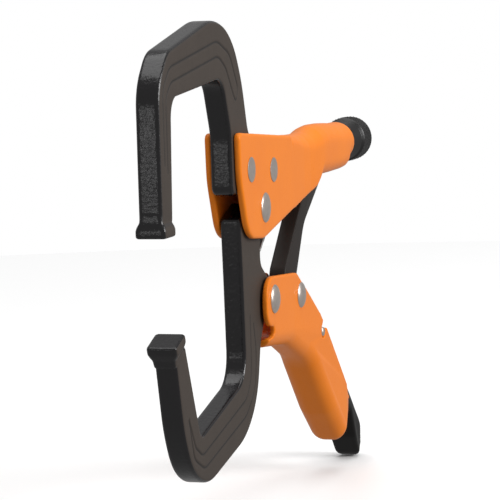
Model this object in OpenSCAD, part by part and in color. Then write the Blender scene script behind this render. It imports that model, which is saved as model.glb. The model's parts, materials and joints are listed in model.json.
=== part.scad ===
// Locking C clamp: two deep forged jaws on a pressed handle, closed by a toggle lever and set by a
// screw. +Z is up and +X points to the jaws. The origin is the centre of the fixed pad's face.
// Places and outlines are measured from the lower jaw's pivot, in the plane of the jaws, and
// an outline is a list of [x, z, corner radius].

/* [Jaws] */
// Thickness of the fixed jaw's forging
jaw_t = 10; // [8:0.5:12]
// Distance of the clamping pads in front of the pivot
reach = 125; // [123:0.5:127]
// Height of the fixed pad's face above the pivot
pad_z = -1; // [-2:0.5:0]
// Angle the lower jaw swings from fully open to closed
open_angle = 19.3; // [18:0.1:19.3]
// Length of a clamping pad along the jaws
pad_len = 13.4; // [11:0.2:15]
// Width of a clamping pad across the jaws
pad_w = 12.8; // [11:0.2:15]

/* [Handles] */
// Thickness of the pressed steel sheet
sheet_t = 3; // [2.5:0.1:3.2]
// Outer radius of the handle's round end
tube_r = 10; // [9.8:0.1:10.4]
// Width of the lever across its grip
grip_w = 19.5; // [18.5:0.5:20.5]

/* [Toggle] */
// Thickness of the toggle link
link_t = 8; // [6:0.5:8.4]
// Distance the adjusting screw is wound in, from fully out
screw_in = 21; // [18:1:21]
// Radius of the adjusting screw
screw_r = 5; // [4:0.1:5]

/* [Knob] */
// Radius over the knob's knurled rim
knob_r = 11.5; // [10.5:0.1:12]

/* [Rivets] */
// Radius of the lower jaw's pivot rivet
pivot_r = 4; // [3.5:0.1:4.5]
// Radius of the other rivets' shanks
rivet_r = 3.2; // [2.8:0.1:3.4]

/* [Hidden] */
$fn = 64;

// Clearances: a pivot's running fit, beside the moving pieces, and between pads when closed
run_fit = 0.05;
side_gap = 0.3;
pad_gap = 0.3;
// Length of a cut that passes right through
through = 60;
arc_steps = 8;
// How far a rivet head draws in for each millimetre of its height
head_slope = 0.6;

// Places of the pivots and rivets in the plane of the jaws
pivot = [0, 0];
lever_jaw = [-9, -41.7];
lever_link = [-52.5, -45.3];
release_pin = [-87.4, -67.4];
jaw_rivets = [[19.9, 18.1], [-14.5, 15.7]];
spring_tab = [-60, 22];
// Thin ear and tab that the spring's hooks pass through, and their holes
ear_t = 3;
eye_r = 1.3;
spring_eye = [-4.2, -21];

// Sheet pieces, by their half widths
body_in = jaw_t / 2;
body_out = body_in + sheet_t;
lever_in = body_in + side_gap;
lever_out = lever_in + sheet_t;
grip_out = grip_w / 2;
grip_in = grip_out - sheet_t;
moving_t = jaw_t - 2 * side_gap;

// Stations along the screw's axis
axis_z = 20;
slot_end = -118;
screw_tip = -117.1;
tube_end = -157;
nut_front = -143.5;
ring_rear = nut_front + side_gap / 2 + screw_in;
knob_front = -161;
knob_back = -188;

// Corner i of an outline as an arc of its own radius
function unit(v) = v / norm(v);
function turn(a) = (a + 540) % 360 - 180;
function heading(v) = atan2(v[1], v[0]);
function corner(a, p, b, r) = let (
    u = unit(a - p),
    v = unit(b - p),
    half = acos(u * v) / 2,
    centre = p + unit(u + v) * r / sin(half),
    start = heading(p + u * r / tan(half) - centre),
    sweep = turn(heading(p + v * r / tan(half) - centre) - start)
) r == 0 ? [p] : [for (i = [0:arc_steps])
    centre + r * [cos(start + sweep * i / arc_steps), sin(start + sweep * i / arc_steps)]];
function flat(c) = [c[0], c[1]];
function rounded(c) = let (n = len(c)) [for (i = [0:n - 1])
    each corner(flat(c[(i + n - 1) % n]), flat(c[i]), flat(c[(i + 1) % n]), c[i][2])];

// Puts what was drawn about the lower jaw's pivot where it lies from the fixed pad
module from_pivot() {
    translate([-reach, 0, -pad_z]) children();
}

// A plate of the given outline and thickness, centred across the clamp
module plate(outline, thick) {
    rotate([90, 0, 0])
        linear_extrude(height = thick, center = true)
            polygon(rounded(outline));
}

// A round bar or hole across the clamp
module across(place, r, width) {
    translate([place[0], 0, place[1]])
        rotate([90, 0, 0])
            cylinder(h = width, r = r, center = true);
}

// A round bar or cone along the screw's axis, between two stations
module along(x_a, x_b, r_a, r_b) {
    translate([x_a, 0, axis_z])
        rotate([0, 90, 0])
            cylinder(h = x_b - x_a, r1 = r_a, r2 = r_b);
}

// A round rib of the handle's skin, 1 mm long, at a station and a height
module rib(x, z, r) {
    translate([x, 0, z])
        rotate([0, 90, 0])
            cylinder(h = 1, r = r, $fn = 32);
}

// Height of a pad's block, where its taper into the bar ends, and how far it draws in by there
pad_block = 5.5;
pad_taper = 10;
pad_draw = 0.4;

// A clamping pad, from its face at height z back into the jaw's bar
module pad(z, up) {
    hull() {
        translate([reach - pad_len / 2, -pad_w / 2, min(z, z + up * pad_block)])
            cube([pad_len, pad_w, pad_block]);
        translate([reach - pad_len / 2 + pad_draw, -moving_t / 2, min(z + up * pad_taper,
                z + up * (pad_taper + 1))])
            cube([pad_len - 2 * pad_draw, moving_t, 1]);
    }
}

// Turns what was drawn with the clamp closed to where it lies with the clamp open
module opened() {
    rotate([0, open_angle, 0]) children();
}

// A rivet: its shank right through, and a low round head on each side
module rivet(place, r, head, head_y) {
    across(place, r, 2 * head_y);
    for (side = [-1, 1])
        translate([place[0], side * head_y, place[1]])
            rotate([-90 * side, 0, 0])
                cylinder(h = head[1], r1 = head[0], r2 = head[0] - head[1] * head_slope);
}

body_side = [[36, 35, 2], [35, 14, 30], [25, -11.5, 14], [2, -13.6, 25], [-91, 3.3, 1],
    [-91, 29.4, 0], [-55, 28.8, 20], [-42, 29.4, 10]];
// Where the handle's sides start and stop rounding into the tube, and the heights they round at
round_from = -66;
round_to = -98;
front_top = 20.6;
front_low = 10;
rear_top = 21.2;
rear_low = 16.4;
rear_r = 9.7;
// Where the handle is fully a tube, and the keel that hangs under it
tube_from = -140;
keel_end = -147;
keel_z = 14;
keel_r = 7;

// The fixed handle: a sheet folded over at the top, open in front, and closed into a tube behind
module body_shell() {
    color("darkorange") from_pivot()
    difference() {
        union() {
            plate(body_side, 2 * body_out);
            hull() {
                rib(round_from, front_top, body_out);
                rib(round_from, front_low, body_out);
                rib(round_to, rear_top, rear_r);
                rib(round_to, rear_low, rear_r);
            }
            hull() {
                rib(round_to, rear_top, rear_r);
                rib(round_to, rear_low, rear_r);
                rib(tube_from, axis_z, tube_r);
                rib(keel_end, keel_z, keel_r);
            }
            along(tube_end + sheet_t, tube_from + 1, tube_r, tube_r);
            along(tube_end, tube_end + sheet_t, tube_r - 0.7, tube_r);
        }
        plate([[60, -40, 0], [60, 60, 0], [-48, 60, 0], [-48, -40, 0]], 2 * body_in);
        plate([[-47, -40, 0], [-47, 25.9, 2], [-82, 25.4, 20], [-98, 27.3, 4], [slot_end, 27.6, 2],
            [slot_end, -40, 0]], 2 * body_in);
        along(tube_end - 1, slot_end + 1, tube_r - sheet_t, tube_r - sheet_t);
        for (place = jaw_rivets) across(place, rivet_r, through);
        across(pivot, pivot_r, through);
    }
    color("darkorange") from_pivot()
    difference() {
        plate([[-57, 28, 0], [-64, 28, 0], [-63, 18.5, 2], [-57.5, 18.5, 2]], ear_t);
        across(spring_tab, eye_r, through);
    }
}

upper_side = [[reach + 5.6, 4, 0], [130.2, 57.5, 22], [117.8, 71, 16], [58, 83.6, 45], [32.5, 78, 34],
    [19.5, 57, 60], [11.5, 32, 10], [-22, 27, 6], [-24, 8, 5], [37.5, 8, 4], [37.6, 34, 20],
    [47.5, 58.3, 11], [114.8, 52.4, 9], [reach - 7.4, 4, 0]];
// Radius of the scoop that clears the moving jaw's lobe, and of the lobe and of the lever's ear
scoop_r = 11.4;
lobe_r = 11;
lever_ear_r = 10.5;

// The fixed jaw: a forged bar bent into a C, with its tail riveted between the handle's sides
module upper_jaw() {
    color("dimgray") from_pivot()
    difference() {
        union() {
            plate(upper_side, jaw_t);
            pad(pad_z, 1);
        }
        across(pivot, scoop_r, through);
        for (place = jaw_rivets) across(place, rivet_r, through);
    }
}

lower_side = [[11.5, 3, 0], [27.6, -2.7, 2], [26.3, -30, 30], [25, -72.4, 14], [89.8, -86.6, 5],
    [106.6, -46, 0], [119, -50.5, 0], [112, -81, 60], [102.4, -98.6, 30], [83, -108, 34],
    [26.5, -98, 45], [8, -83.8, 35], [1.4, -60, 8], [-5, -51.5, 0], [-16, -34, 0], [-1.6, -25, 6],
    [-2, -12, 2], [-10, 0, 0]];
// Wall of the spring's ear around its eye
ear_wall = 1.3;
ear_half = 2.4;

// The moving jaw: its lobe turns on the pivot rivet and its ear carries the lever
module lower_jaw() {
    color("dimgray") from_pivot()
    difference() {
        union() {
            plate(lower_side, moving_t);
            across(pivot, lobe_r, moving_t);
            across(lever_jaw, lever_ear_r, moving_t);
            across(spring_eye, eye_r + ear_wall, ear_t);
            plate([[2, spring_eye[1] + ear_half, 0], [2, spring_eye[1] - ear_half, 0],
                [spring_eye[0], spring_eye[1] - ear_half, 0],
                [spring_eye[0], spring_eye[1] + ear_half, 0]], ear_t);
            opened() pad(pad_z - pad_gap, -1);
        }
        across(pivot, pivot_r + run_fit, through);
        across(lever_jaw, rivet_r + run_fit, through);
        across(spring_eye, eye_r, through);
    }
}

lever_side = [[2.5, -30.7, 10], [2.5, -53.6, 8], [-7, -53.6, 0.5], [-7, -58.8, 0.5], [-1.5, -58.8, 1],
    [-3.5, -63, 2], [-40, -66.8, 30], [-70, -79, 40], [-103.5, -110.5, 25], [-129.5, -131, 9],
    [-145, -114.5, 9], [-128, -98.5, 30], [-83, -56.8, 40], [-47.5, -34.3, 8]];
lever_hollow = [[14, -20, 0], [14, -56, 0], [-39.6, -63.8, 27], [-68.2, -75.6, 37],
    [-101.4, -107.2, 22], [-128, -126.5, 8], [-141.5, -113, 6], [-129, -85, 0], [-60, -20, 0]];
// The dip in the lever's end that the release lever's spoon moves in
lever_dip = [[-126, -108, 0], [-137, -119.5, 3], [-155, -119.5, 0], [-155, -90, 0], [-126, -90, 0]];
spoon_gap = 8.5;
// Radius of the relief hole where the lever's back leaves its lugs
relief_r = 2.6;
relief = [-5.6, -56.2];
notch_r = 2.8;
lever_tilt = 148.1;
release_tilt = 137.2;

// Draws with +X down the grip from the release lever's pin, and +Z towards the channel's back
module on_release() {
    translate([release_pin[0], 0, release_pin[1]])
        rotate([0, release_tilt, 0])
            children();
}

lever_end = 152.5;
lever_end_r = 9.2;
// Where the lever starts and stops widening into its grip
widen_from = 62;
widen_to = 84;
widen_r = 20;
before_lever = -30;
// Depth of a plan outline's block, either way
plan_depth = 200;

// A plan outline seen square to the grip, as a block through the lever
module lever_plan(front, grip, end, r) {
    translate([lever_jaw[0], 0, lever_jaw[1]])
        rotate([0, lever_tilt, 0])
            linear_extrude(height = plan_depth, center = true)
                polygon(rounded([[before_lever, front, 0], [widen_from, front, widen_r],
                    [widen_to, grip, widen_r], [end, grip, r], [end, -grip, r],
                    [widen_to, -grip, widen_r], [widen_from, -front, widen_r],
                    [before_lever, -front, 0]]));
}

// The moving handle: a pressed channel, open towards the fixed handle, that widens into the grip
module lever_shell() {
    color("darkorange") from_pivot()
    difference() {
        intersection() {
            plate(lever_side, 2 * grip_out + 2);
            lever_plan(lever_out, grip_out, lever_end, lever_end_r);
        }
        intersection() {
            plate(lever_hollow, 2 * grip_out);
            lever_plan(lever_in, grip_in, lever_end - sheet_t, grip_in - 0.5);
        }
        across(relief, relief_r, through);
        across(lever_jaw, rivet_r, through);
        across(lever_link, rivet_r, through);
        across(release_pin, notch_r, through);
        on_release()
            translate([-notch_r, -through / 2, -20])
                cube([2 * notch_r, through, 20]);
        plate(lever_dip, 2 * spoon_gap);
    }
}

link_side = [[-43.8, -53, 8.5], [-42, -33.6, 8], [-103.6, 23.6, 4.5], [-113.5, 23.6, 4.5],
    [-113.5, 6.5, 5], [-77, -14.5, 22], [-61.4, -38, 10], [-61.4, -53, 8.5]];

// The toggle link: pinned in the lever, with its blunt end standing against the screw's tip
module toggle_link() {
    color("dimgray") from_pivot()
    difference() {
        plate(link_side, link_t);
        across(lever_link, rivet_r + run_fit, through);
    }
}

release_side = [[-73.2, -58.2, 2], [-75.5, -63.5, 2], [-88, -75, 6], [-116, -93.5, 20],
    [-131.5, -103.5, 12], [-146, -116.5, 6], [-153.5, -131, 8], [-164, -143.5, 6], [-174, -140.5, 4],
    [-164, -124, 20], [-140, -99.5, 20], [-112, -80.5, 30], [-90.5, -60, 5], [-78, -57.2, 2]];
// The release lever in plan: distances from its pin, half widths and corner radii
release_plan = [[-30, 4, 0], [18, 4, 4], [26, 6.3, 6], [71, 6.3, 4], [78, 8.1, 4], [113, 8.1, 8]];
function mirrored(c) = [for (i = [len(c) - 1:-1:0]) [c[i][0], -c[i][1], c[i][2]]];
pin_r = 2.2;

// The release lever: a stem inside the lever's channel and a spoon past its end
module release_lever() {
    color("black") from_pivot()
    difference() {
        intersection() {
            plate(release_side, 2 * grip_out);
            on_release()
                linear_extrude(height = plan_depth, center = true)
                    polygon(rounded(concat(release_plan, mirrored(release_plan))));
        }
        across(release_pin, pin_r + run_fit, through);
    }
}

// The release lever's pin, lying in the notches of the lever's two sides
module release_lever_pin() {
    color("silver") from_pivot()
    across(release_pin, pin_r, 2 * lever_out + 0.6);
}

// Rivet heads: radius and height
flush_head = [5.5, 0.4];
pivot_head = [6.7, 1.6];
lever_jaw_head = [6.5, 2];
lever_link_head = [6, 2];

module jaw_rivet_front() {
    color("silver") from_pivot() rivet(jaw_rivets[0], rivet_r, flush_head, body_out);
}

module jaw_rivet_rear() {
    color("silver") from_pivot() rivet(jaw_rivets[1], rivet_r, flush_head, body_out);
}

module jaw_pivot_rivet() {
    color("silver") from_pivot() rivet(pivot, pivot_r, pivot_head, body_out);
}

module lever_jaw_rivet() {
    color("silver") from_pivot() rivet(lever_jaw, rivet_r, lever_jaw_head, lever_out);
}

module lever_link_rivet() {
    color("silver") from_pivot() rivet(lever_link, rivet_r, lever_link_head, lever_out);
}

coil_r = 3.4;
wire_r = 0.6;
spring_dir = unit(spring_tab - spring_eye);
spring_tilt = heading(spring_dir);
spring_len = norm(spring_tab - spring_eye);
hook_len = 9;
loop_r = coil_r - wire_r;
// Gap left between a hook's ring and its shank
hook_mouth = 1.5;

// Draws along the line from the lower jaw's eye to the handle's tab
module on_spring_line() {
    translate([spring_eye[0], 0, spring_eye[1]])
        rotate([0, -spring_tilt, 0])
            children();
}

// The coiled part of the spring that opens the jaws, as the sleeve that its turns fill
module tension_spring() {
    color("gray") from_pivot()
    on_spring_line()
        translate([hook_len, 0, 0])
            rotate([0, 90, 0])
                difference() {
                    cylinder(h = spring_len - 2 * hook_len, r = coil_r);
                    translate([0, 0, -1])
                        cylinder(h = spring_len, r = coil_r - 2 * wire_r);
                }
}

// A hook: a ring of wire through its eye, and a straight shank to the coil
module spring_hook() {
    translate([loop_r, loop_r, 0])
        rotate([0, 90, 0])
            cylinder(h = hook_len - loop_r, r = wire_r, $fn = 24);
    translate([loop_r, 0, 0])
        difference() {
            rotate_extrude() translate([loop_r, 0]) circle(r = wire_r, $fn = 16);
            translate([0, -loop_r - 1, -1]) cube([loop_r + 1, 2 * loop_r + 2 - hook_mouth, 2]);
        }
}

module spring_hook_front() {
    color("gray") from_pivot() on_spring_line() spring_hook();
}

module spring_hook_rear() {
    color("gray") from_pivot()
    on_spring_line()
        translate([spring_len, 0, 0])
            rotate([0, 0, 180])
                spring_hook();
}

// The threaded insert fixed in the handle's round end
module tube_nut() {
    color("silver") from_pivot()
    difference() {
        along(tube_end + 1, nut_front, tube_r - sheet_t, tube_r - sheet_t);
        along(tube_end, nut_front + 1, screw_r + run_fit, screw_r + run_fit);
    }
}

ring_r = 6.4;
ring_len = 2.5;

// The ring that stops the screw from being wound right out
module screw_stop_ring() {
    color("silver") from_pivot()
    difference() {
        along(ring_rear, ring_rear + ring_len, ring_r, ring_r);
        along(ring_rear - 1, ring_rear + 4, screw_r + run_fit, screw_r + run_fit);
    }
}

// The adjusting screw, from its blunt tip to its fixing inside the knob
module adjusting_screw() {
    color("silver") from_pivot()
    union() {
        along(knob_back + socket_depth, screw_tip - tip_bevel, screw_r, screw_r);
        along(screw_tip - tip_bevel, screw_tip, screw_r, screw_r - tip_bevel);
    }
}

// The knob's cone ends at its groove, and the rim starts behind it
cone_len = 8;
rim_from = 11;
cone_r = 7.6;
groove_r = knob_r - 1.6;
bevel = 1.2;
socket_depth = 8;
tip_bevel = 0.8;

// The knob: a cone towards the handle, a groove and a broad rim
module screw_knob() {
    color("black") from_pivot()
    difference() {
        union() {
            along(knob_front - cone_len, knob_front, knob_r - bevel, cone_r);
            along(knob_front - rim_from, knob_front - cone_len, groove_r, groove_r);
            along(knob_back + bevel, knob_front - rim_from, knob_r, knob_r);
            along(knob_back, knob_back + bevel, knob_r - bevel, knob_r);
        }
        along(knob_back + socket_depth, knob_front + 1, screw_r, screw_r);
    }
}

body_shell();
upper_jaw();
jaw_rivet_front();
jaw_rivet_rear();
jaw_pivot_rivet();
lower_jaw();
lever_shell();
lever_jaw_rivet();
lever_link_rivet();
toggle_link();
release_lever();
release_lever_pin();
tension_spring();
spring_hook_front();
spring_hook_rear();
tube_nut();
screw_stop_ring();
adjusting_screw();
screw_knob();
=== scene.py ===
"""Locking C clamp: forged jaws on a pressed handle, a toggle lever, a release lever and a screw.

Shapes are written in millimetres from the lower jaw's pivot, in the plane of the jaws: x runs to
the jaws and z up. An outline is a list of (x, z, corner radius), and y is across the clamp.
"""
import json
import math

import bmesh
import bpy
import numpy as np
from mathutils import Matrix, Vector


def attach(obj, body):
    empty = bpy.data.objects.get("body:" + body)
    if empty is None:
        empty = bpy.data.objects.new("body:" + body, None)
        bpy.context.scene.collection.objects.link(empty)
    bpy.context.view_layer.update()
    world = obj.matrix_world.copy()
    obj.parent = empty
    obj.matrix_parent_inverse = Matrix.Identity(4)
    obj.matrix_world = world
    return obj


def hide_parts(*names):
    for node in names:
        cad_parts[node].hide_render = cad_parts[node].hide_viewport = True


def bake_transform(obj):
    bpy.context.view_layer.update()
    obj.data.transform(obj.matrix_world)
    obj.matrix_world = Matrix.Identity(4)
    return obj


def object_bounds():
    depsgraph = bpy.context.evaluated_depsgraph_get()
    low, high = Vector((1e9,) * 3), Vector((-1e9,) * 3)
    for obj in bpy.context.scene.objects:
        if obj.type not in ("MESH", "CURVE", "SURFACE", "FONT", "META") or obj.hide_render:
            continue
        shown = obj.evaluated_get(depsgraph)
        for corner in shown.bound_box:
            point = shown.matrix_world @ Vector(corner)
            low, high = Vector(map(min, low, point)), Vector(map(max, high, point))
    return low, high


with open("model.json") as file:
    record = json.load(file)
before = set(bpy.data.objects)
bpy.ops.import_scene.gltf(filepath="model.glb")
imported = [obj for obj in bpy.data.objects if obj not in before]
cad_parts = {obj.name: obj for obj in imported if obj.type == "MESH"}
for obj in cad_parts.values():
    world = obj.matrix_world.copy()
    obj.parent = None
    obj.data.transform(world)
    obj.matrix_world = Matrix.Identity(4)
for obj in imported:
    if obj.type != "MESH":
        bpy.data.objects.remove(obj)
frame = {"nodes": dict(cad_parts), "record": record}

CAD_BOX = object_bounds()
MM = 0.001
JOINTS = {j["name"]: j for j in frame["record"]["behaviour"]["joints"]}
PIVOT = Vector(JOINTS["jaw_pivot"]["pos_m"])
OPEN = math.radians(JOINTS["jaw_pivot"]["range_deg"][1])


def joint_place(name):
    """A hinge's place in the plane of the jaws, in millimetres from the lower jaw's pivot."""
    place = (Vector(JOINTS[name]["pos_m"]) - PIVOT) / MM
    return np.array([place.x, place.z])


LEVER_JAW = joint_place("lever_pivot")
LEVER_LINK = joint_place("link_pivot")
RELEASE_PIN = joint_place("release_pivot")
AXIS_Z = joint_place("screw_turn")[1]

# The sheet's thickness, and half widths across the clamp
SHEET = 3.0
BODY_W = 8.0
JAW_W = 5.0
MOVING_W = 4.7
LEVER_W = 8.3
GRIP_W = 9.75
LINK_W = 4.0


# ---------------------------------------------------------------- outlines

def rounded(outline, steps=8):
    """The outline's points, with each corner turned on its own radius."""
    points = []
    count = len(outline)
    for i, (x, z, radius) in enumerate(outline):
        corner = np.array([x, z], float)
        before = np.array(outline[i - 1][:2], float) - corner
        after = np.array(outline[(i + 1) % count][:2], float) - corner
        before /= np.linalg.norm(before)
        after /= np.linalg.norm(after)
        if radius == 0:
            points.append(corner)
            continue
        half = math.acos(float(np.clip(before @ after, -1, 1))) / 2
        middle = before + after
        centre = corner + middle / np.linalg.norm(middle) * radius / math.sin(half)
        first = corner + before * radius / math.tan(half) - centre
        last = corner + after * radius / math.tan(half) - centre
        start = math.atan2(first[1], first[0])
        sweep = (math.atan2(last[1], last[0]) - start + 3 * math.pi) % (2 * math.pi) - math.pi
        for k in range(steps + 1):
            a = start + sweep * k / steps
            points.append(centre + radius * np.array([math.cos(a), math.sin(a)]))
    return np.array(points)


def circle(centre, radius, count=48):
    """A round outline's points."""
    turn = np.linspace(0, 2 * math.pi, count, endpoint=False)
    return np.array(centre) + radius * np.stack([np.cos(turn), np.sin(turn)], 1)


def inset(points, depth):
    """The outline moved inwards by a depth, square to its sides."""
    following = np.roll(points, -1, 0)
    area = np.sum(points[:, 0] * following[:, 1] - following[:, 0] * points[:, 1])
    along = following - points
    along /= np.linalg.norm(along, axis=1)[:, None]
    inward = np.stack([-along[:, 1], along[:, 0]], 1) * math.copysign(1, area)
    earlier = np.roll(inward, 1, 0)
    share = 1 + np.sum(inward * earlier, axis=1)
    return points + depth * (inward + earlier) / np.maximum(share, 0.3)[:, None]


# ---------------------------------------------------------------- meshes

def made(name, rings):
    """A piece from rings of points in millimetres, joined in order, with flat ends."""
    mesh = bmesh.new()
    rows = [[mesh.verts.new(point) for point in ring] for ring in rings]
    for row, following in zip(rows, rows[1:]):
        count = len(row)
        for i in range(count):
            j = (i + 1) % count
            mesh.faces.new((row[i], row[j], following[j], following[i]))
    mesh.faces.new(rows[0][::-1])
    mesh.faces.new(rows[-1])
    return placed(name, mesh)


def placed(name, mesh):
    """An object that holds a mesh measured in millimetres from the pivot."""
    bmesh.ops.remove_doubles(mesh, verts=mesh.verts, dist=1e-5)
    bmesh.ops.recalc_face_normals(mesh, faces=mesh.faces)
    if mesh.calc_volume(signed=True) < 0:
        bmesh.ops.reverse_faces(mesh, faces=mesh.faces)
    bmesh.ops.transform(mesh, verts=mesh.verts,
                        matrix=Matrix.Translation(PIVOT) @ Matrix.Scale(MM, 4))
    data = bpy.data.meshes.new(name)
    mesh.to_mesh(data)
    mesh.free()
    piece = bpy.data.objects.new(name, data)
    bpy.context.scene.collection.objects.link(piece)
    return piece


def slab(name, points, width, edge, middle=0.0, steps=4):
    """A plate of half a width across the clamp, with its rims turned on the edge radius."""
    rings = []
    for k in range(steps + 1):
        a = math.pi / 2 * k / steps
        rings.append((edge * (1 - math.sin(a)), -width + edge * (1 - math.cos(a))))
    rings += [(depth, -y) for depth, y in reversed(rings)]
    return made(name, [[(x, middle + y, z) for x, z in inset(points, depth)]
                       for depth, y in rings])


def turned(name, profile, place, direction, count=48):
    """A turned piece: the profile's (distance along, radius), about a line from a place."""
    axis = Vector(direction).normalized()
    side = axis.orthogonal().normalized()
    other = axis.cross(side)
    rings = []
    for distance, radius in profile:
        radius = max(radius, 1e-3)
        rings.append([Vector(place) + axis * distance
                      + radius * (side * math.cos(a) + other * math.sin(a))
                      for a in np.linspace(0, 2 * math.pi, count, endpoint=False)])
    return made(name, rings)


def settled(piece):
    """The piece with its modifiers worked into its mesh."""
    graph = bpy.context.evaluated_depsgraph_get()
    data = bpy.data.meshes.new_from_object(piece.evaluated_get(graph))
    old = piece.data
    piece.modifiers.clear()
    piece.data = data
    bpy.data.meshes.remove(old)
    return piece


def cut(piece, tool, operation="DIFFERENCE"):
    """The piece with a tool's shape taken away, or kept where they meet, or added."""
    change = piece.modifiers.new("cut", "BOOLEAN")
    change.operation = operation
    change.solver = "EXACT"
    change.object = tool
    settled(piece)
    bpy.data.objects.remove(tool)
    return piece


# Half the length of a tool that cuts right through, and the edge of one with sharp rims
THROUGH = 20.0
SHARP = 0.01


def bore(place, radius, count=48):
    """A round tool that cuts right through the clamp at a place."""
    return turned("bore", [(-THROUGH, radius), (THROUGH, radius)], (place[0], 0, place[1]),
                  (0, 1, 0), count)


def gathered(name, *parts):
    """One piece from several closed shapes."""
    mesh = bmesh.new()
    for part in parts:
        mesh.from_mesh(part.data)
        bpy.data.objects.remove(part)
    data = bpy.data.meshes.new(name)
    mesh.to_mesh(data)
    mesh.free()
    piece = bpy.data.objects.new(name, data)
    bpy.context.scene.collection.objects.link(piece)
    return piece


def worked(piece, grain, passes):
    """The shapes fused to one skin of small faces, with every edge eased."""
    fuse = piece.modifiers.new("fuse", "REMESH")
    fuse.mode = "VOXEL"
    fuse.voxel_size = grain * MM
    ease = piece.modifiers.new("ease", "SMOOTH")
    ease.factor = 0.5
    ease.iterations = passes
    return settled(piece)


def vertices(piece):
    """The piece's points in millimetres from the pivot."""
    flat = np.empty(len(piece.data.vertices) * 3, np.float32)
    piece.data.vertices.foreach_get("co", flat)
    return (flat.reshape(-1, 3).astype(float) - np.array(PIVOT)) / MM


def reshape(piece, points):
    """Gives the piece new points, in millimetres from the pivot."""
    flat = (points * MM + np.array(PIVOT)).astype(np.float32)
    piece.data.vertices.foreach_set("co", flat.ravel())
    piece.data.update()


def normals(piece):
    """The direction that each of the piece's points faces."""
    flat = np.empty(len(piece.data.vertices) * 3, np.float32)
    piece.data.vertices.foreach_get("normal", flat)
    return flat.reshape(-1, 3).astype(float)


def distance_to(points, path):
    """How far each (x, z) point lies from a path of straight runs."""
    nearest = np.full(len(points), 1e9)
    for a, b in zip(path, path[1:]):
        run = b - a
        share = np.clip((points - a) @ run / (run @ run), 0, 1)
        nearest = np.minimum(nearest, np.linalg.norm(points - a - share[:, None] * run, axis=1))
    return nearest


def mark(piece, name, values):
    """Keeps a number at each of the piece's points, for its finish to read."""
    layer = piece.data.attributes.new(name, "FLOAT", "POINT")
    layer.data.foreach_set("value", np.asarray(values, np.float32))


def step(value, low, high):
    """0 below low, 1 above high, and smooth in between."""
    share = np.clip((value - low) / (high - low), 0, 1)
    return share * share * (3 - 2 * share)


# ---------------------------------------------------------------- finishes

class Wire:
    """A number on its way from one node of a finish to another."""

    def __init__(self, finish, socket):
        self.finish = finish
        self.socket = socket

    def math(self, operation, *others):
        inputs = dict(enumerate((self, *others)))
        return self.finish.add("Math", {"operation": operation}, inputs)

    def __add__(self, other):
        return self.math("ADD", other)

    def __mul__(self, other):
        return self.math("MULTIPLY", other)

    def __rsub__(self, other):
        return self.finish.add("Math", {"operation": "SUBTRACT"}, {0: other, 1: self})

    __radd__ = __add__
    __rmul__ = __mul__


class Finish:
    """A surface finish, made of nodes about one shader."""

    def __init__(self, name, **constants):
        self.material = bpy.data.materials.new(name)
        self.material.use_nodes = True
        self.tree = self.material.node_tree
        self.shader = self.tree.nodes["Principled BSDF"]
        self.place = self.add("TexCoord", out="Object")
        for key, value in constants.items():
            self.shader.inputs[key.replace("_", " ")].default_value = value

    def feed(self, socket, value):
        """Links a wire to a socket, or sets the socket's own value."""
        if isinstance(value, Wire):
            self.tree.links.new(value.socket, socket)
        elif isinstance(value, tuple) and len(value) == 3 and socket.type == "RGBA":
            socket.default_value = (*value, 1)
        else:
            socket.default_value = value

    def add(self, kind, settings=None, inputs=None, out=0):
        """Adds a node, sets it up, feeds its sockets and gives back one output."""
        node = self.tree.nodes.new("ShaderNode" + kind)
        for key, value in (settings or {}).items():
            setattr(node, key, value)
        for key, value in (inputs or {}).items():
            self.feed(node.inputs[key], value)
        return Wire(self, node.outputs[out])

    def grain(self, size, detail=2.0, stretch=(1, 1, 1)):
        """A noise from 0 to 1 whose lumps are about the size given in millimetres."""
        place = self.add("Mapping", None, {"Vector": self.place, "Scale": stretch})
        return self.add("TexNoise", None, {"Vector": place, "Scale": 1 / (size * MM),
                                           "Detail": detail})

    def between(self, low, high, wire):
        """A wire's middle range spread to run from 0 to 1."""
        return self.add("MapRange", {"clamp": True},
                        {"Value": wire, "From Min": low, "From Max": high})

    def mixed(self, share, first, second):
        """One colour passing into another."""
        node = self.tree.nodes.new("ShaderNodeMix")
        node.data_type = "RGBA"
        for socket, value in zip((0, 6, 7), (share, first, second)):
            self.feed(node.inputs[socket], value)
        return Wire(self, node.outputs[2])

    def kept(self, name):
        """A number kept at the piece's points."""
        return self.add("Attribute", {"attribute_name": name}, out="Fac")

    def bumps(self, height, depth, strength=1.0, under=None):
        """A relief of a depth in millimetres."""
        inputs = {"Height": height, "Distance": depth * MM, "Strength": strength}
        if under:
            inputs["Normal"] = under
        return self.add("Bump", None, inputs)

    def to(self, **wires):
        """Leads wires to the shader's sockets."""
        for key, value in wires.items():
            self.feed(self.shader.inputs[key.replace("_", " ")], value)
        return self.material


def powder_coat():
    """Glossy orange powder coat: a soft waviness, a fine grain and slight unevenness."""
    coat = Finish("orange_powder_coat", Specular_IOR_Level=0.16)
    patches = coat.grain(18, 3)
    specks = coat.between(0.55, 0.75, coat.grain(0.9, 3))
    colour = coat.mixed(patches, (0.84, 0.205, 0.010), (0.92, 0.245, 0.016))
    colour = coat.mixed(specks * 0.12, colour, (0.64, 0.13, 0.01))
    waves = coat.bumps(coat.grain(2.6, 1), 0.035)
    skin = coat.bumps(coat.grain(0.6, 1), 0.006, under=waves)
    return coat.to(Base_Color=colour, Roughness=0.30 + patches * 0.08 + specks * 0.1, Normal=skin)


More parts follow.
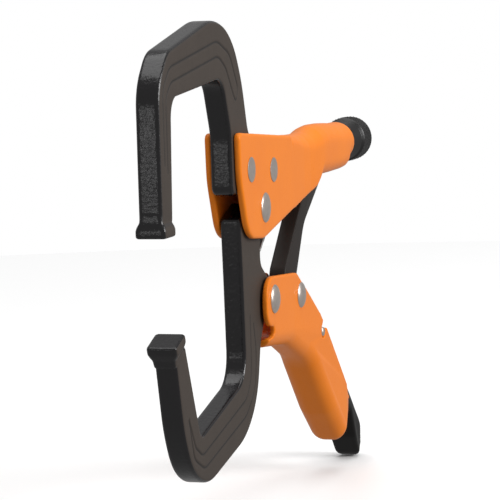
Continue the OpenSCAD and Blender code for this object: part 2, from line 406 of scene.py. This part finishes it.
def forging():
    """Blackened forging: dull brown ground sides, and glossy, lumpy black rims."""
    steel = Finish("black_forging", Specular_IOR_Level=0.5)
    rim = steel.kept("rim")
    groove = steel.kept("groove")
    scale = steel.grain(7, 4)
    pits = steel.grain(0.8, 3)
    fine = steel.grain(0.35, 2)
    side = steel.mixed(scale, (0.036, 0.025, 0.018), (0.052, 0.037, 0.027))
    side = steel.mixed(fine * 0.35, side, (0.020, 0.014, 0.010))
    edge = steel.mixed(pits, (0.004, 0.003, 0.004), (0.009, 0.008, 0.009))
    colour = steel.mixed(rim, side, edge)
    colour = steel.mixed(groove, colour, (0.006, 0.005, 0.005))
    lumps = steel.bumps(steel.grain(1.4, 3), 0.13, rim)
    skin = steel.bumps(pits, 0.045, 0.15 + rim * 0.85, under=lumps)
    return steel.to(Base_Color=colour, Roughness=0.58 - rim * 0.42 + fine * 0.08, Normal=skin)


def dark_steel(name, colour, roughness, size, shine):
    """Blackened steel with a fine even grain."""
    steel = Finish(name, Specular_IOR_Level=shine)
    fine = steel.grain(size, 3)
    broad = steel.grain(9, 3)
    darker = tuple(c * 0.6 for c in colour)
    return steel.to(Base_Color=steel.mixed(broad, darker, colour),
                    Roughness=roughness + fine * 0.12 + broad * 0.06,
                    Normal=steel.bumps(fine, 0.02))


def bright_steel(name, colour, roughness):
    """Bare steel, faintly brushed and clouded."""
    steel = Finish(name, Metallic=1.0)
    clouds = steel.grain(1.8, 4)
    lines = steel.grain(0.35, 2, (1, 0.15, 1))
    darker = tuple(c * 0.72 for c in colour)
    return steel.to(Base_Color=steel.mixed(clouds, darker, colour),
                    Roughness=roughness + clouds * 0.12 + lines * 0.06,
                    Normal=steel.bumps(lines, 0.006))


ORANGE = powder_coat()
FORGING = forging()
LINK_STEEL = dark_steel("black_link_steel", (0.024, 0.018, 0.015), 0.45, 0.4, 0.25)
SATIN_STEEL = dark_steel("black_satin_steel", (0.006, 0.005, 0.0045), 0.36, 0.3, 0.22)
KNOB_STEEL = dark_steel("black_knurled_steel", (0.012, 0.011, 0.011), 0.26, 0.4, 0.5)
RIVET_STEEL = bright_steel("rivet_steel", (0.74, 0.66, 0.60), 0.28)
SPRING_STEEL = bright_steel("spring_steel", (0.42, 0.41, 0.40), 0.32)
SCREW_STEEL = bright_steel("screw_steel", (0.46, 0.45, 0.43), 0.34)


def finished(piece, body, slot, material, *nodes, crease=40):
    """Gives a piece its finish and its body, and hides the CAD nodes that it stands for."""
    piece.data.materials.clear()
    piece.data.materials.append(material)
    piece.data.shade_smooth()
    piece.data.set_sharp_from_angle(angle=math.radians(crease))
    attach(piece, body)
    if nodes:
        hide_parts(*nodes)
    return piece


# ---------------------------------------------------------------- jaws

def swung_open(points):
    """Points drawn with the clamp closed, in (x, z), turned to where they lie when it is open."""
    points = np.asarray(points, float)
    c, s = math.cos(OPEN), math.sin(OPEN)
    return np.stack([points[..., 0] * c + points[..., 1] * s,
                     points[..., 1] * c - points[..., 0] * s], -1)


# Half the length and half the width of a pad's face
PAD_LONG = 6.7
PAD_WIDE = 6.4
# The pad's rings: distance from its face, how far drawn in lengthways, half width, corner radius
PAD_RINGS = [(0, 0.7, PAD_WIDE - 0.7, 1.0), (0.25, 0.2, PAD_WIDE - 0.2, 1.3),
             (0.8, 0, PAD_WIDE, 1.5), (3.2, 0, PAD_WIDE, 1.5), (4.6, 0.3, PAD_WIDE - 0.5, 1.5),
             (6.2, 0.7, 5.0, 1.5), (9.5, 0.9, MOVING_W, 1.5)]
# How far the middle of the pads lies from the pivot when the clamp is closed
REACH = 125


def pad(face, up, opened=False):
    """The broad pad at a jaw's end, from its face at a height back into the bar."""
    rings = []
    for rise, drawn_in, wide, corner in PAD_RINGS:
        long = PAD_LONG - drawn_in
        corners = [(REACH - long, -wide, corner), (REACH + long, -wide, corner),
                   (REACH + long, wide, corner), (REACH - long, wide, corner)]
        ring = rounded(corners, 4)
        places = np.stack([ring[:, 0], np.full(len(ring), face + up * rise)], 1)
        if opened:
            places = swung_open(places)
        rings.append([(x, y, z) for (x, z), y in zip(places, ring[:, 1])])
    return made("pad", rings)


GROOVE_WIDE = 0.42
GROOVE_DEEP = 0.45


def forged_jaw(name, body, blank, grooves, width):
    """A jaw fused from its rough shapes, with its grooves pressed in and its rims left lumpy."""
    jaw = worked(blank, 0.45, 4)
    points = vertices(jaw)
    facing = normals(jaw)
    on_side = step(np.abs(facing[:, 1]), 0.80, 0.97)
    near = np.full(len(points), 1e9)
    for path in grooves:
        near = np.minimum(near, distance_to(points[:, [0, 2]], path))
    pressed = np.exp(-(near / GROOVE_WIDE) ** 2) * on_side * (np.abs(points[:, 1]) > width - 0.5)
    points[:, 1] -= np.sign(points[:, 1]) * GROOVE_DEEP * pressed
    reshape(jaw, points)
    jaw.name = name
    mark(jaw, "rim", 1 - on_side)
    mark(jaw, "groove", pressed)
    return finished(jaw, body, "black_forging", FORGING, name.removesuffix("_forging"), crease=80)


UPPER_SIDE = [(130.6, 4, 0), (130.2, 57.5, 22), (117.8, 71, 16), (58, 83.6, 45), (32.5, 78, 34),
              (19.5, 57, 60), (11.5, 32, 10), (-22, 27, 6), (-24, 8, 5), (37.5, 8, 4),
              (37.6, 34, 20), (47.5, 58.3, 11), (114.8, 52.4, 9), (117.6, 4, 0)]
LOWER_SIDE = [(11.5, 3, 0), (27.6, -2.7, 2), (26.3, -30, 30), (25, -72.4, 14), (89.8, -86.6, 5),
              (106.6, -46, 0), (119, -50.5, 0), (112, -81, 60), (102.4, -98.6, 30),
              (83, -108, 34), (26.5, -98, 45), (8, -83.8, 35), (1.4, -60, 8), (-5, -51.5, 0),
              (-16, -34, 0), (-1.6, -25, 6), (-2, -12, 2), (-10, 0, 0)]
UPPER_GROOVES = [
    [(125.2, 27, 0), (125.2, 56.5, 12), (116, 64.8, 12), (54, 74, 18), (37, 68.5, 14),
     (26.5, 54, 3), (29, 47, 2), (33.5, 51.5, 0)],
    [(121.8, 24, 0), (121.6, 53.5, 8), (114.5, 59, 10), (52.5, 67.8, 14), (42.5, 62.5, 10),
     (33.5, 51.5, 0)]]
LOWER_GROOVES = [
    [(12.6, -50, 0), (9.9, -62, 20), (12, -79, 18), (27.1, -88.6, 18), (86.8, -99.8, 10),
     (100, -93.5, 8), (105.6, -76, 0)],
    [(17.5, -46, 0), (17.6, -74.5, 16), (27, -81.5, 14), (89, -94, 8), (98, -89, 6),
     (105.6, -76, 0)]]


bar = cut(slab("bar", rounded(UPPER_SIDE), JAW_W, 1.5),
          bore((0, 0), 11.4))
upper = gathered("upper", bar, pad(-1, 1))
forged_jaw("upper_jaw_forging", "fixed_handle", upper,
           [rounded(line) for line in UPPER_GROOVES], JAW_W)

# The spring's eye in the moving jaw, its radius, and half the ear's thickness
SPRING_EYE = np.array([-4.2, -21.0])
EYE_R = 1.3
EAR_W = 1.5
ear = slab("spring_ear", circle(SPRING_EYE, 2.6, 24), EAR_W, 0.4)
neck = slab("spring_neck", np.array([(2, -18.6), (2, -23.4), (-4.2, -23.4), (-4.2, -18.6)]),
            EAR_W, 0.4)
lower = gathered("lower", slab("bar", rounded(LOWER_SIDE), MOVING_W, 1.4),
                 slab("lobe", circle((0, 0), 11), MOVING_W, 1.0),
                 slab("lever_ear", circle(LEVER_JAW, 10.5), MOVING_W, 1.0),
                 ear, neck, pad(-1.3, -1, opened=True))
cut(lower, bore(SPRING_EYE, EYE_R, 24))
forged_jaw("lower_jaw_forging", "moving_jaw", lower,
           [rounded(line) for line in LOWER_GROOVES], MOVING_W)


# ---------------------------------------------------------------- fixed handle

# Stations along the handle: x, top, bottom, half width, top and bottom corner radii
STATIONS = np.array([
    (-47.5, 29.3, -4.7, 8.0, 4.6, 0.3), (-58, 28.8, -2.7, 8.0, 5.5, 0.3),
    (-66, 28.5, -1.2, 8.0, 7.0, 0.3), (-76, 28.4, 0.6, 8.3, 8.2, 0.5),
    (-86, 28.8, 2.6, 9.0, 8.9, 1.0), (-92, 29.6, 4.2, 9.4, 9.3, 4.0),
    (-98, 30.7, 6.4, 9.7, 9.6, 7.5), (-106, 31.3, 6.6, 9.8, 9.7, 7.0),
    (-118, 31.2, 6.8, 9.9, 9.8, 6.6), (-132, 30.6, 7.0, 10.0, 9.95, 6.6),
    (-140, 30.1, 7.1, 10.0, 9.95, 6.6), (-145.5, 30.0, 7.3, 10.0, 9.95, 6.8),
    (-148.5, 30.0, 9.6, 10.0, 9.95, 9.4), (-150, 30.0, 10.0, 10.0, 9.95, 9.95)])


def handle_ring(x, shrink=0.0, dropped=0.0):
    """The handle's section at a station, as much smaller all round as the wall needs."""
    top, bottom, wide, crown, heel = (np.interp(-x, -STATIONS[:, 0], STATIONS[:, k])
                                      for k in range(1, 6))
    top, wide, bottom = top - shrink, wide - shrink, bottom + shrink - dropped
    crown, heel = max(crown - shrink, 0.4), max(heel - shrink, 0.3)
    corners = [(-wide, bottom, heel), (wide, bottom, heel), (wide, top, crown), (-wide, top, crown)]
    return [(x, y, z) for y, z in rounded(corners, 10)]


def handle_loft(name, first, last, shrink=0.0, dropped=lambda x: 0.0, ends=()):
    """The handle's sections from one station to another, and then its closing rings."""
    rings = [handle_ring(x, shrink, dropped(x)) for x in np.linspace(first, last, 90)]
    for x, smaller in ends:
        rings.append(handle_ring(x, shrink + smaller))
    return made(name, rings)


TUBE_END = -157.0
END_ROLL = [(TUBE_END + 2.2, 0.05), (TUBE_END + 1.3, 0.3), (TUBE_END + 0.6, 0.7), (TUBE_END, 1.6)]
shell = handle_loft("shell", -47.5, -153.5, ends=END_ROLL)
hollow = handle_loft("hollow", -40, TUBE_END - 2, SHEET,
                     lambda x: 12 * float(step(x, -100, -97)) - 3.2 * float(step(-x, 102, 108))
                     * float(step(x, -150, -147)))
cut(shell, hollow)
SLOT = [(-30, -20, 0), (-30, 14, 0), (-118, 14, 4), (-118, -20, 0)]
cut(shell, slab("slot", rounded(SLOT), JAW_W, SHARP))
FORE_PLATE = [(36, 35, 3), (35, 14, 30), (25, -11.5, 14), (2, -13.6, 25), (-66, -1.25, 0),
              (-66, 17, 0), (-50, 17, 3), (-45.8, 29.3, 2), (-42, 29.4, 3)]
plates = [slab("plate", rounded(FORE_PLATE), SHEET / 2, 1.0, side * (BODY_W - SHEET / 2))
          for side in (-1, 1)]
tab = slab("tab", rounded([(-57, 27.8, 0), (-64, 27.8, 0), (-63, 18.5, 2), (-57.5, 18.5, 2)]),
           EAR_W, 0.4)
SPRING_TAB = np.array([-60.0, 22.0])
cut(tab, bore(SPRING_TAB, EYE_R, 24))
body = worked(gathered("body", shell, *plates, tab), 0.6, 5)
points = vertices(body)
SEAM_WIDE = 0.55
seam = np.exp(-(points[:, 1] / SEAM_WIDE) ** 2) * (points[:, 2] < AXIS_Z - 9) * (points[:, 0] < -118)
points[:, 2] += SEAM_WIDE * seam
reshape(body, points)
body.name = "body_sheet"
finished(body, "fixed_handle", "orange_powder_coat", ORANGE, "body_shell", crease=80)


# ---------------------------------------------------------------- lever

LEVER_SIDE = [(2.5, -30.7, 10), (2.5, -53.6, 8), (-7, -53.6, 1), (-7, -58.8, 1), (-1.5, -58.8, 1.5),
              (-3.5, -63, 2), (-40, -66.8, 30), (-70, -79, 40), (-103.5, -110.5, 25),
              (-129.5, -131, 9), (-145, -114.5, 9), (-128, -98.5, 30), (-83, -56.8, 40),
              (-47.5, -34.3, 8)]
LEVER_BACK = [(16, -5, 0), (16, -61, 0), (-40, -66.8, 30), (-70, -79, 40), (-103.5, -110.5, 25),
              (-129.5, -131, 9), (-162, -96.6, 0), (-110, -40, 0), (-50, -5, 0)]
LEVER_TILT = math.radians(180 - 148.1)
LEVER_AXIS = np.array([-math.cos(LEVER_TILT), -math.sin(LEVER_TILT)])


def along_lever(points):
    """How far (x, z) points lie down the lever from its pivot in the jaw."""
    return (points - LEVER_JAW) @ LEVER_AXIS


def round_end(down, end, length):
    """How much of its width a handle keeps along its length, as its end closes in a half round."""
    past = np.clip(down - (end - length), 0, length) / length
    return np.sqrt(np.clip(1 - past ** 2, 0.004, 1))


def slot_cutter(place, towards, radius, length):
    """A round-ended slot through the piece, open in one direction."""
    towards = np.array(towards) / np.linalg.norm(towards)
    across = np.array([-towards[1], towards[0]])
    turn = np.linspace(math.pi / 2, 3 * math.pi / 2, 17)
    ring = [place + radius * (towards * math.cos(a) + across * math.sin(a)) for a in turn]
    ring += [place + towards * length - across * radius, place + towards * length + across * radius]
    return slab("slot", np.array(ring), THROUGH, SHARP)


lever = slab("lever", rounded(LEVER_BACK), GRIP_W, 7.0, steps=8)
cut(lever, slab("channel", inset(rounded(LEVER_BACK), SHEET), GRIP_W - SHEET, 4.0, steps=6))
cut(lever, slab("trim", rounded(LEVER_SIDE), THROUGH, SHARP), "INTERSECT")
cut(lever, bore((-5.6, -56.2), 2.6))
cut(lever, slot_cutter(RELEASE_PIN, (-0.68, 0.73), 2.8, 20))
points = vertices(lever)
down = along_lever(points[:, [0, 2]])
width = np.interp(down, [62, 84], [LEVER_W, GRIP_W]) / GRIP_W
points[:, 1] *= width * round_end(down, 152.5, 15.0)
reshape(lever, points)
SPOON_DIP = [(-126, -108, 0), (-137, -120.5, 3), (-155, -120.5, 0), (-155, -90, 0), (-126, -90, 0)]
cut(lever, slab("dip", rounded(SPOON_DIP), 7.6, 0.5))
worked(lever, 0.5, 8)
lever.name = "lever_sheet"
finished(lever, "lever", "orange_powder_coat", ORANGE, "lever_shell", crease=80)


# ---------------------------------------------------------------- toggle link and release lever

LINK_SIDE = [(-43.8, -53, 8.5), (-42, -33.6, 8), (-103.6, 23.6, 4.5), (-113.5, 23.6, 4.5),
             (-113.5, 6.5, 5), (-77, -14.5, 22), (-61.4, -38, 10), (-61.4, -53, 8.5)]
link = slab("link_bar", rounded(LINK_SIDE, 12), LINK_W, 0.9)
finished(link, "link", "black_link_steel", LINK_STEEL, "toggle_link", crease=50)

RELEASE_SIDE = [(-73.2, -58.2, 2), (-75.5, -63.5, 2), (-88, -75, 6), (-116, -93.5, 20),
                (-131.5, -103.5, 12), (-146, -116.5, 6), (-153.5, -131, 8), (-164, -143.5, 6),
                (-174, -140.5, 4), (-164, -124, 20), (-140, -99.5, 20), (-112, -80.5, 30),
                (-90.5, -60, 5), (-78, -57.2, 2)]
RELEASE_TILT = math.radians(137.2)
RELEASE_AXIS = np.array([math.cos(RELEASE_TILT), -math.sin(RELEASE_TILT)])
SPOON_W = 7.2
PIN_R = 2.2
release = slab("release", rounded(RELEASE_SIDE), SPOON_W, 1.9, steps=6)
cut(release, bore(RELEASE_PIN, PIN_R + 0.1))
points = vertices(release)
down = (points[:, [0, 2]] - RELEASE_PIN) @ RELEASE_AXIS
width = np.interp(down, [18, 26, 71, 78], [4, 6.3, 6.3, SPOON_W]) / SPOON_W
points[:, 1] *= width * round_end(down, 113, 14.0)
reshape(release, points)
worked(release, 0.5, 40)
release.name = "release_spoon"
finished(release, "release", "black_satin_steel", SATIN_STEEL, "release_lever", crease=80)


# ---------------------------------------------------------------- rivets and pin

class Tree:
    """A Geometry Nodes tree with named inputs, worked on one piece."""

    def __init__(self, name, **inputs):
        self.tree = bpy.data.node_groups.new(name, "GeometryNodeTree")
        self.values = inputs
        self.tree.interface.new_socket("Geometry", in_out="INPUT",
                                       socket_type="NodeSocketGeometry")
        for key, value in inputs.items():
            kind = {int: "Int", float: "Float", tuple: "Vector"}.get(type(value), "Material")
            self.tree.interface.new_socket(key, in_out="INPUT", socket_type="NodeSocket" + kind)
        self.tree.interface.new_socket("Geometry", in_out="OUTPUT",
                                       socket_type="NodeSocketGeometry")
        self.given = self.tree.nodes.new("NodeGroupInput")

    def add(self, kind, settings=None, inputs=None, out=0):
        """Adds a node, sets it up, feeds its sockets and gives back one output."""
        prefix = "" if kind.startswith("ShaderNode") else "GeometryNode"
        node = self.tree.nodes.new(prefix + kind)
        for key, value in (settings or {}).items():
            setattr(node, key, value)
        for key, value in (inputs or {}).items():
            if isinstance(value, bpy.types.NodeSocket):
                self.tree.links.new(value, node.inputs[key])
            else:
                node.inputs[key].default_value = value
        return node.outputs[out]

    def work(self, piece, geometry):
        """Ends the tree in real faces of one finish and works it on the piece."""
        real = self.add("RealizeInstances", None, {0: geometry})
        coated = self.add("SetMaterial", None, {0: real, "Material": self.given.outputs["Finish"]})
        last = self.tree.nodes.new("NodeGroupOutput")
        self.tree.links.new(coated, last.inputs[0])
        change = piece.modifiers.new("made", "NODES")
        change.node_group = self.tree
        for item in self.tree.interface.items_tree:
            if item.in_out == "INPUT" and item.name in self.values:
                change[item.identifier] = self.values[item.name]
        return settled(piece)


def rivet(name, body, place, half, head_r, head_t, flush, node):
    """A rivet: one head's shape, set down on both sides by a tree."""
    if flush:
        profile = [(-2.0, head_r - 0.2), (0.0, head_r - 0.2), (head_t * 0.4, head_r),
                   (head_t * 0.8, head_r - 0.25), (head_t * 0.7, head_r - 0.6),
                   (head_t * 0.9, head_r * 0.5), (head_t * 0.95, 0)]
    else:
        dome = [(head_t * math.sin(a), head_r * math.cos(a))
                for a in np.linspace(0.12, math.pi / 2, 12)]
        profile = [(-2.0, head_r - 0.5), (0.0, head_r - 0.1), *dome]
    head = turned(name, profile, (0, 0, 0), (0, 1, 0))
    head.data.transform(Matrix.Translation(-PIVOT))
    tree = Tree(name + "_heads", Half=half * MM, Finish=RIVET_STEEL)
    far = tree.add("ShaderNodeMath", {"operation": "MULTIPLY"},
                   {0: tree.given.outputs["Half"], 1: -1.0})
    near_point = tree.add("ShaderNodeCombineXYZ", None, {"Y": tree.given.outputs["Half"]})
    far_point = tree.add("ShaderNodeCombineXYZ", None, {"Y": far})
    line = tree.add("MeshLine", {"mode": "END_POINTS"},
                    {"Count": 2, "Start Location": near_point, "Offset": far_point})
    number = tree.add("InputIndex")
    half_turn = tree.add("ShaderNodeMath", {"operation": "MULTIPLY"}, {0: number, 1: math.pi})
    turn = tree.add("ShaderNodeCombineXYZ", None, {"Z": half_turn})
    heads = tree.add("InstanceOnPoints", None,
                     {"Points": line, "Instance": tree.given.outputs[0], "Rotation": turn})
    tree.work(head, heads)
    head.data.transform(Matrix.Translation(PIVOT + Vector((place[0], 0, place[1])) * MM))
    return finished(head, body, "rivet_steel", RIVET_STEEL, node)


rivet("jaw_rivet_front_heads", "fixed_handle", (19.9, 18.1), BODY_W, 5.5, 0.4, True,
      "jaw_rivet_front")
rivet("jaw_rivet_rear_heads", "fixed_handle", (-14.5, 15.7), BODY_W, 5.5, 0.4, True,
      "jaw_rivet_rear")
rivet("jaw_pivot_heads", "fixed_handle", (0, 0), BODY_W, 6.7, 1.5, False, "jaw_pivot_rivet")
rivet("lever_jaw_heads", "lever", LEVER_JAW, LEVER_W, 6.5, 2.0, False, "lever_jaw_rivet")
rivet("lever_link_heads", "lever", LEVER_LINK, LEVER_W, 6.0, 2.0, False, "lever_link_rivet")
PIN_PROFILE = [(-9.7, 1.4), (-9.5, 1.9), (-9.1, PIN_R), (9.1, PIN_R), (9.5, 1.9), (9.7, 1.4)]
pin = turned("release_pin", PIN_PROFILE, (RELEASE_PIN[0], 0, RELEASE_PIN[1]), (0, 1, 0))
finished(pin, "lever", "rivet_steel", RIVET_STEEL, "release_lever_pin")


# ---------------------------------------------------------------- screw, knob and spring

def wound(name, turns, radius, length, wire, sides, per_turn, finish):
    """A wire wound about +X from the origin by a tree: a spring's coil or a thread's ridge."""
    start = bpy.data.objects.new(name, bpy.data.meshes.new(name))
    bpy.context.scene.collection.objects.link(start)
    tree = Tree(name + "_winding", Turns=float(turns), Radius=radius * MM, Length=length * MM,
                Wire=wire * MM, Finish=finish)
    given = tree.given.outputs
    line = tree.add("CurveSpiral", None, {"Resolution": per_turn, "Rotations": given["Turns"],
                                          "Start Radius": given["Radius"],
                                          "End Radius": given["Radius"], "Height": given["Length"]})
    section = tree.add("CurvePrimitiveCircle", None, {"Resolution": sides, "Radius": given["Wire"]})
    coil = tree.add("CurveToMesh", None,
                    {"Curve": line, "Profile Curve": section, "Fill Caps": True})
    laid = tree.add("Transform", None, {"Geometry": coil, "Rotation": (0.0, math.pi / 2, 0.0)})
    return tree.work(start, laid)


def laid_at(piece, place, direction=(1, 0)):
    """Moves a piece made about +X to a place in the plane of the jaws."""
    tilt = Matrix.Rotation(-math.atan2(direction[1], direction[0]), 4, "Y")
    place = Vector((place[0], 0, place[1])) * MM
    piece.data.transform(Matrix.Translation(PIVOT + place) @ tilt)
    return piece


SCREW_TIP, KNOB_FRONT = -117.1, -161.0
PITCH = 1.5
THREADS = 36
core = turned("screw_core", [(0, 2.2), (0.2, 2.9), (0.9, 4.0), (2.2, 4.15), (55, 4.15)],
              (SCREW_TIP, 0, AXIS_Z), (-1, 0, 0))
finished(core, "screw", "screw_steel", SCREW_STEEL, "adjusting_screw")
ridge = wound("screw_thread", THREADS, 4.25, THREADS * PITCH, 0.72, 3, 40, SCREW_STEEL)
laid_at(ridge, (SCREW_TIP - THREADS * PITCH - 1.2, AXIS_Z))
finished(ridge, "screw", "screw_steel", SCREW_STEEL, crease=30)

KNURLS = 40
KNURL_RUN = 1.8
# The knob's cone, groove, knurled band and hollow end: distance along, radius
KNOB = [(0, 5.4), (0.2, 6.6), (0.6, 7.3), (4, 8.7), (7.2, 10.0), (7.9, 10.3), (8.3, 10.0),
        (8.6, 9.5), (10.4, 9.5), (10.8, 9.9), (11.2, 10.7), (11.6, 11.2)]
KNOB += [(x, 11.5) for x in np.linspace(12, 25.6, 46)]
KNOB += [(26.1, 11.1), (26.6, 10.6), (26.9, 9.8), (27, 8.6), (26.2, 8.0), (26.0, 7.0), (26.0, 0)]
knob = turned("knob_rim", KNOB, (KNOB_FRONT, 0, AXIS_Z), (-1, 0, 0), KNURLS * 6)
points = vertices(knob)
reach = np.array([KNOB_FRONT - points[:, 0], points[:, 1], points[:, 2] - AXIS_Z])
angle = np.arctan2(reach[2], reach[1]) * KNURLS / (2 * math.pi)
radius = np.hypot(reach[1], reach[2])
lead = reach[0] / KNURL_RUN / 2
ridges = 4 * np.abs((angle + lead) % 1 - 0.5) * np.abs((angle - lead) % 1 - 0.5)
knurled = step(reach[0], 11.3, 12.3) * (1 - step(reach[0], 25.2, 26.2))
scale = 1 - knurled * (1 - ridges) / np.maximum(radius, 1)
points[:, 1] *= scale
points[:, 2] = AXIS_Z + (points[:, 2] - AXIS_Z) * scale
reshape(knob, points)
finished(knob, "screw", "black_knurled_steel", KNOB_STEEL, "screw_knob", crease=32)

HOOK, COIL_R, WIRE_R, COIL_STEP = 9.0, 2.8, 0.6, 1.3
spring_line = SPRING_TAB - SPRING_EYE
spring_length = float(np.linalg.norm(spring_line))
spring_line /= spring_length
coil_length = spring_length - 2 * HOOK
coil = wound("spring_coil", round(coil_length / COIL_STEP), COIL_R, coil_length, WIRE_R, 8, 20,
             SPRING_STEEL)
laid_at(coil, SPRING_EYE + spring_line * HOOK, spring_line)
coil.data.shade_smooth()
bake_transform(coil)
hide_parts("tension_spring")

for node, material in {"spring_hook_front": SPRING_STEEL, "spring_hook_rear": SPRING_STEEL,
                       "tube_nut": SCREW_STEEL, "screw_stop_ring": SCREW_STEEL}.items():
    kept = frame["nodes"][node]
    kept.data.materials.clear()
    kept.data.materials.append(material)


# ---------------------------------------------------------------- studio

def lamp(name, place, aim, size, power):
    """A square soft light, turned to face a point."""
    light = bpy.data.lights.new(name, "AREA")
    light.size = size
    light.energy = power
    holder = bpy.data.objects.new(name, light)
    bpy.context.scene.collection.objects.link(holder)
    holder.location = place
    holder.rotation_euler = (Vector(aim) - Vector(place)).to_track_quat("-Z", "Y").to_euler()


FLOOR_Z = CAD_BOX[0][2] - 0.0005
floor_mesh = bpy.data.meshes.new("floor")
FLOOR_R = 1.3
floor_mesh.from_pydata([(FLOOR_R * math.cos(a) - 0.1, FLOOR_R * math.sin(a), FLOOR_Z)
                        for a in np.linspace(0, 2 * math.pi, 96, endpoint=False)], [], [range(96)])
floor = bpy.data.objects.new("floor", floor_mesh)
bpy.context.scene.collection.objects.link(floor)
paper = Finish("floor_paper", Roughness=0.9)
floor_mesh.materials.append(paper.to(Base_Color=(0.98, 0.98, 0.98)))
floor.visible_diffuse = False
floor.visible_glossy = False

world = bpy.data.worlds.new("studio")
world.use_nodes = True
backdrop = world.node_tree.nodes["Background"]
backdrop.inputs["Color"].default_value = (1, 1, 1, 1)
ray = world.node_tree.nodes.new("ShaderNodeLightPath")
strength = world.node_tree.nodes.new("ShaderNodeMapRange")
strength.inputs["To Min"].default_value = 0.4
strength.inputs["To Max"].default_value = 1.0
world.node_tree.links.new(ray.outputs["Is Camera Ray"], strength.inputs["Value"])
world.node_tree.links.new(strength.outputs[0], backdrop.inputs["Strength"])
bpy.context.scene.world = world
bpy.context.scene.view_settings.view_transform = "Standard"

middle = (-0.15, 0, -0.01)
lamp("key", (-0.05, 1.2, 0.5), middle, 0.6, 12.0)
lamp("front_glint", (0.855, -0.30, 0.02), (0, 0, 0.03), 0.055, 0.16)
sky = bpy.data.lights.new("overhead", "SUN")
sky.energy = 1.7
sky.angle = math.radians(60)
sky_holder = bpy.data.objects.new("overhead", sky)
bpy.context.scene.collection.objects.link(sky_holder)

right = Vector((-0.2875, 0.9573, -0.0302))
up = Vector((-0.1045, 0.0, 0.9945))
back = right.cross(up).normalized()
camera = bpy.data.objects.new("camera", bpy.data.cameras.new("camera"))
bpy.context.scene.collection.objects.link(camera)
camera.matrix_world = (Matrix.Translation((0.8310, 0.2905, 0.0826))
                       @ Matrix((right, up, back)).transposed().to_4x4())
camera.data.sensor_width = 36
camera.data.lens = 163.4
bpy.context.scene.camera = camera
